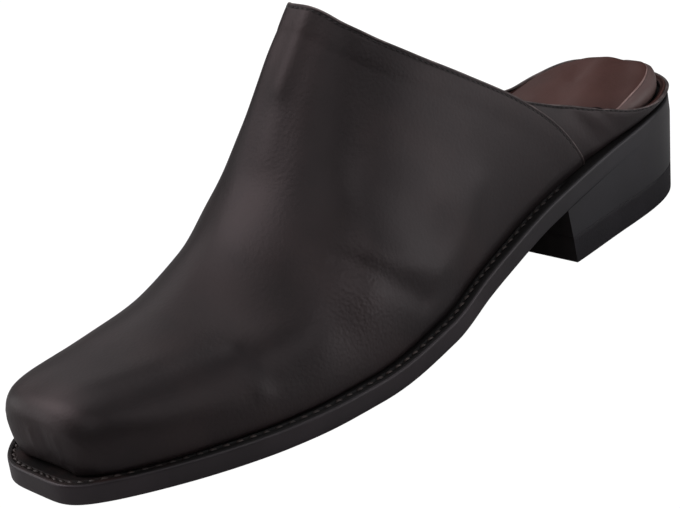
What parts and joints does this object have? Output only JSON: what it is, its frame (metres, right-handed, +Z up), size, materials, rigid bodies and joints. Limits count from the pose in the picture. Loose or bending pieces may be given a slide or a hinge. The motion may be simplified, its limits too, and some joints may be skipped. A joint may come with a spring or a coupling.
{
  "type": "mule shoe",
  "caption": "Square-toed leather mule with a high smooth vamp, a low open heel rim, a padded footbed, a stitched welt and a stacked block heel.",
  "frame": {"origin": "on the floor, under the middle of the shoe's bounding box", "axes": "+Z up, +Y towards the heel, -Y towards the toe, +X towards the outer side of the foot"},
  "size_m": [0.1, 0.295, 0.1157],
  "materials": {
    "outsole": "black, polished edge",
    "welt": "black, satin",
    "heel_stack": "black, polished stacked leather",
    "top_lift": "black, matte",
    "upper": "black, fine grain, satin",
    "insole": "dark brown, satin"
  },
  "bodies": {
    "root": {"outsole": "outsole", "welt": "welt", "heel_stack": "heel_stack", "top_lift": "top_lift", "upper": "upper", "insole": "insole"}
  },
  "joints": []
}
